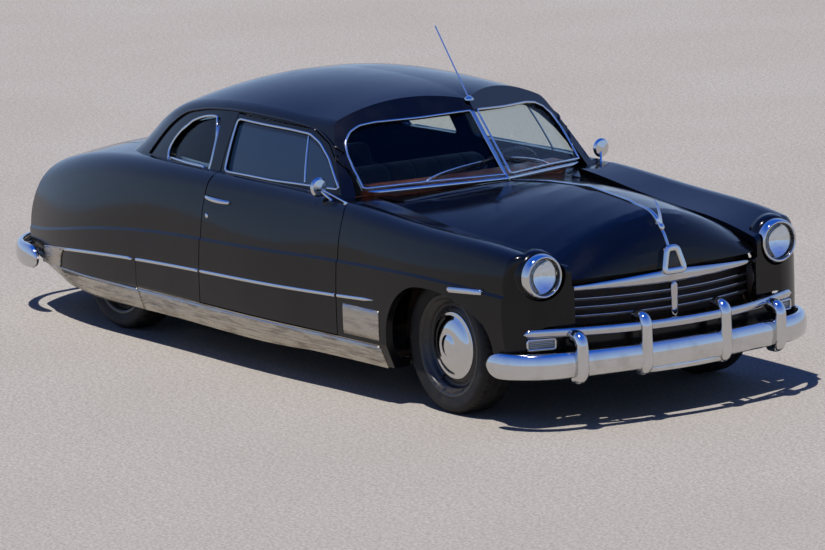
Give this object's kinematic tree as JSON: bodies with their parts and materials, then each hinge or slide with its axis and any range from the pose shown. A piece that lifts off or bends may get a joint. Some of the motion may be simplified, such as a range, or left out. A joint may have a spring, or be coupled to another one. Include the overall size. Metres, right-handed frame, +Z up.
{
  "type": "hot rod",
  "caption": "Chopped and lowered black two-door coupe of about 1949 with a step-down body, skirted rear wheels, a V windshield, chrome bumpers and opening doors, hood and trunk.",
  "frame": {"origin": "on the ground at the middle of the overall length and width", "axes": "+X to the nose, +Y to the car's left side, +Z up"},
  "size_m": [5.2946, 1.97, 1.7404],
  "materials": {
    "black_paint": "gloss, worn",
    "chrome": "polished with rust specks",
    "steel_trim": "dull ribbed",
    "wheel_steel": "satin dark",
    "tyre": "matte",
    "glass": "clear",
    "lens_clear": "fluted",
    "lens_red": "gloss",
    "chassis": "dirty satin",
    "cast": "rough",
    "seat_cloth": "woven",
    "dash_paint": "satin brown",
    "hard_rubber": "gloss"
  },
  "bodies": {
    "car_body": {"antenna": "chrome", "cowl": "black_paint", "dashboard": "dash_paint", "deck_panel": "black_paint", "driveshaft": "chassis", "engine": "cast", "exhaust": "chassis", "fender_skirts": "black_paint", "floor": "chassis", "frame_rails": "chassis", "front_bumper": "chrome", "front_fenders": "black_paint", "front_panel": "black_paint", "front_seat": "seat_cloth", "front_suspension": "chassis", "front_wheelhouses": "chassis", "fuel_tank": "chassis", "grille": "chrome", "grille_top_bar": "chrome", "headlamp_bezels": "chrome", "headlamp_lenses": "lens_clear", "lower_bar": "chrome", "parking_lamps": "lens_clear", "quarter_glass": "glass", "quarter_panels": "black_paint", "radiator": "chassis", "rear_axle": "chassis", "rear_bumper": "chrome", "rear_seat": "seat_cloth", "rear_springs": "chassis", "rear_wheelhouses": "chassis", "rear_window": "glass", "rocker_panels": "steel_trim", "roof": "black_paint", "seat_frame": "chassis", "steering_column": "chassis", "tail_lamps": "lens_red", "tail_panel": "black_paint", "windshield": "glass", "windshield_frame": "chrome"},
    "right_door": {"door_right": "black_paint", "door_glass_right": "glass", "mirror_right": "chrome"},
    "left_door": {"door_left": "black_paint", "door_glass_left": "glass", "mirror_left": "chrome"},
    "hood": {"hood": "black_paint", "hood_ornament": "chrome"},
    "trunk_lid": {"trunk_lid": "black_paint"},
    "right_knuckle": {"knuckle_right": "chassis"},
    "left_knuckle": {"knuckle_left": "chassis"},
    "front_right_wheel": {"wheel_front_right": "wheel_steel", "tyre_front_right": "tyre"},
    "front_left_wheel": {"wheel_front_left": "wheel_steel", "tyre_front_left": "tyre"},
    "rear_right_wheel": {"wheel_rear_right": "wheel_steel", "tyre_rear_right": "tyre"},
    "rear_left_wheel": {"wheel_rear_left": "wheel_steel", "tyre_rear_left": "tyre"},
    "steering_wheel": {"steering_wheel": "hard_rubber"}
  },
  "joints": [
    {"name": "steer_right", "type": "hinge", "parent": "car_body", "child": "right_knuckle", "pos_m": [1.75, -0.585, 0.341], "axis": [0, 0, 1], "range_deg": [-30, 30]},
    {"name": "steer_left", "type": "hinge", "parent": "car_body", "child": "left_knuckle", "pos_m": [1.75, 0.585, 0.341], "axis": [0, 0, 1], "range_deg": [-30, 30]},
    {"name": "steering_wheel_turn", "type": "hinge", "parent": "car_body", "child": "steering_wheel", "pos_m": [0.56, 0.37, 0.9], "axis": [-0.837, 0, 0.5472], "range_deg": [-450, 450]},
    {"name": "spin_front_right", "type": "hinge", "parent": "right_knuckle", "child": "front_right_wheel", "pos_m": [1.75, -0.735, 0.341], "axis": [0, 1, 0], "continuous": true},
    {"name": "spin_front_left", "type": "hinge", "parent": "left_knuckle", "child": "front_left_wheel", "pos_m": [1.75, 0.735, 0.341], "axis": [0, 1, 0], "continuous": true},
    {"name": "spin_rear_right", "type": "hinge", "parent": "car_body", "child": "rear_right_wheel", "pos_m": [-1.4, -0.705, 0.341], "axis": [0, 1, 0], "continuous": true},
    {"name": "spin_rear_left", "type": "hinge", "parent": "car_body", "child": "rear_left_wheel", "pos_m": [-1.4, 0.705, 0.341], "axis": [0, 1, 0], "continuous": true},
    {"name": "open_right_door", "type": "hinge", "parent": "car_body", "child": "right_door", "pos_m": [0.987, -0.986, 0.6], "axis": [0, 0, 1], "range_deg": [0, 65]},
    {"name": "open_left_door", "type": "hinge", "parent": "car_body", "child": "left_door", "pos_m": [0.987, 0.986, 0.6], "axis": [0, 0, -1], "range_deg": [0, 65]},
    {"name": "open_hood", "type": "hinge", "parent": "car_body", "child": "hood", "pos_m": [2.544, 0, 0.722], "axis": [0, 1, 0], "range_deg": [0, 45]},
    {"name": "open_trunk_lid", "type": "hinge", "parent": "car_body", "child": "trunk_lid", "pos_m": [-1.562, 0, 0.99], "axis": [0, 1, 0], "range_deg": [0, 60]}
  ],
  "couplings": [
    {"joint": "steer_left", "follows": "steer_right", "ratio": 1},
    {"joint": "steering_wheel_turn", "follows": "steer_right", "ratio": 15}
  ]
}
